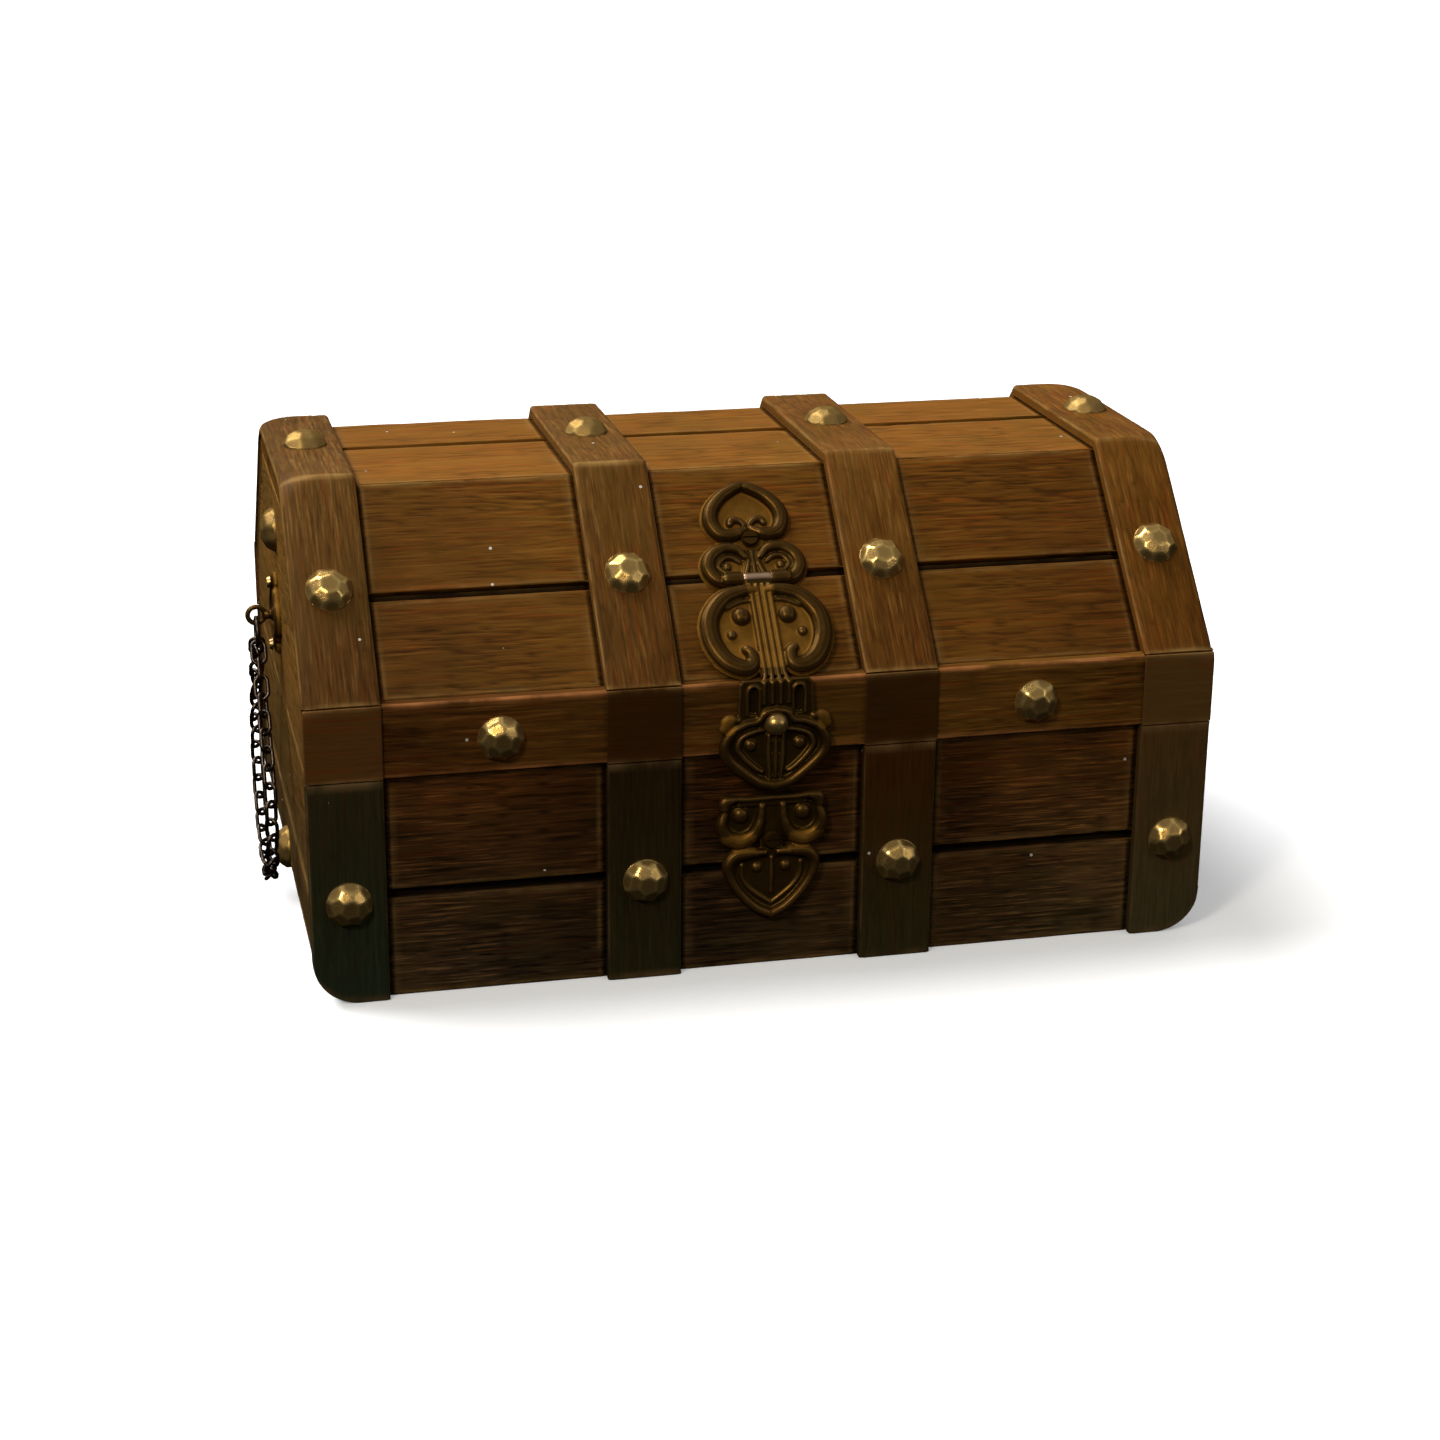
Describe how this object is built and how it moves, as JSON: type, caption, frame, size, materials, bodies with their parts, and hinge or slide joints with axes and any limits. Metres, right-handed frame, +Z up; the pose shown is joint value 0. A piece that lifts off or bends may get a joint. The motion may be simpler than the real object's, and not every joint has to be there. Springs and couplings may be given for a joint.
{
  "type": "treasure chest aquarium ornament",
  "caption": "Banded wooden treasure chest with a coffered lid that is lifted by trapped air bubbles, with a hinged hasp and hanging end chains.",
  "frame": {"origin": "middle of the underside of the base, on the face that it stands on", "axes": "+X to the right along the chest's length, +Y to the back where the hinges are, +Z up"},
  "size_m": [0.2142, 0.1488, 0.1097],
  "materials": {
    "plank_wood": "carved horizontal grain, stained warm brown, worn to ochre on the edges, satin varnish",
    "base_wood": "carved horizontal grain, stained dark reddish brown, satin varnish",
    "rail_wood": "carved horizontal grain with worn light upper edge, satin varnish",
    "end_wood": "fine grain, stained brown, satin varnish",
    "strap_wood": "fine lengthwise grain, stained brown, worn edges, satin varnish",
    "base_strap_wood": "smooth, stained near black brown, satin varnish",
    "plate_wood": "smooth, stained dark brown, satin varnish",
    "stud_brass": "hammered, antiqued",
    "hinge_brass": "antiqued, satin",
    "hasp_bronze": "cast, dark antique bronze, glossy, ochre patina in the hollows",
    "pin_steel": "plain stainless wire",
    "chain_steel": "blackened, worn to bare metal on the crowns",
    "air_fitting": "moulded, clear-white nylon",
    "air_tube": "smooth, clear PVC",
    "air_bell": "moulded, dark brown, so that it stays unseen under the lid",
    "bubble_stone": "porous sintered mineral",
    "ballast_slate": "sawn slate",
    "treasure_gilt": "cast resin, gilt paint over coins and beads"
  },
  "bodies": {
    "base": {"base_floor": "plank_wood", "base_front_board": "base_wood", "base_back_board": "base_wood", "base_left_end": "end_wood", "base_right_end": "end_wood", "base_strap_1": "base_strap_wood", "base_strap_2": "base_strap_wood", "base_strap_3": "base_strap_wood", "base_strap_4": "base_strap_wood", "base_studs": "stud_brass", "base_hinge_leaves": "hinge_brass", "base_hinge_screws": "hinge_brass", "hasp_lower_plate": "hasp_bronze", "hasp_lower_screw": "hasp_bronze", "air_inlet": "air_fitting", "inlet_nut": "air_fitting", "air_tube": "air_tube", "bubble_stone": "bubble_stone", "ballast_slabs": "ballast_slate", "treasure_heap": "treasure_gilt"},
    "lid": {"lid_front_rail": "rail_wood", "lid_back_rail": "rail_wood", "lid_left_end": "end_wood", "lid_right_end": "end_wood", "lid_front_lower_plank": "plank_wood", "lid_front_upper_plank": "plank_wood", "lid_top_front_plank": "plank_wood", "lid_top_back_plank": "plank_wood", "lid_back_upper_plank": "plank_wood", "lid_back_lower_plank": "plank_wood", "lid_strap_1": "strap_wood", "lid_strap_2": "strap_wood", "lid_strap_3": "strap_wood", "lid_strap_4": "strap_wood", "lid_rail_plates": "plate_wood", "lid_strap_studs": "stud_brass", "lid_rail_studs": "stud_brass", "lid_hinge_leaves": "hinge_brass", "hinge_pins": "pin_steel", "lid_hinge_screws": "hinge_brass", "hasp_upper_plate": "hasp_bronze", "hasp_upper_screw": "hasp_bronze", "hasp_pin": "pin_steel", "air_bell": "air_bell", "left_escutcheon": "hasp_bronze", "right_escutcheon": "hasp_bronze", "escutcheon_nails": "stud_brass"},
    "hasp": {"hasp_leaf": "hasp_bronze", "hasp_knob": "hasp_bronze"},
    "left_ring": {"left_ring": "chain_steel"},
    "left_chain": {"left_chain": "chain_steel"},
    "right_ring": {"right_ring": "chain_steel"},
    "right_chain": {"right_chain": "chain_steel"}
  },
  "joints": [
    {"name": "lid_hinge", "type": "hinge", "parent": "base", "child": "lid", "pos_m": [0, 0.06815, 0.0501], "axis": [-1, 0, 0], "range_deg": [0, 50]},
    {"name": "hasp_hinge", "type": "hinge", "parent": "lid", "child": "hasp", "pos_m": [0, -0.04884, 0.08397], "axis": [-1, 0, 0], "range_deg": [0, 100]},
    {"name": "left_ring_hinge", "type": "hinge", "parent": "lid", "child": "left_ring", "pos_m": [-0.1046, -0.005, 0.06825], "axis": [0, 1, 0], "range_deg": [0, 80]},
    {"name": "left_chain_swing", "type": "hinge", "parent": "left_ring", "child": "left_chain", "pos_m": [-0.1046, -0.005, 0.06505], "axis": [1, 0, 0], "range_deg": [-60, 60]},
    {"name": "right_ring_hinge", "type": "hinge", "parent": "lid", "child": "right_ring", "pos_m": [0.1046, -0.005, 0.06825], "axis": [0, -1, 0], "range_deg": [0, 80]},
    {"name": "right_chain_swing", "type": "hinge", "parent": "right_ring", "child": "right_chain", "pos_m": [0.1046, -0.005, 0.06505], "axis": [1, 0, 0], "range_deg": [-60, 60]}
  ]
}
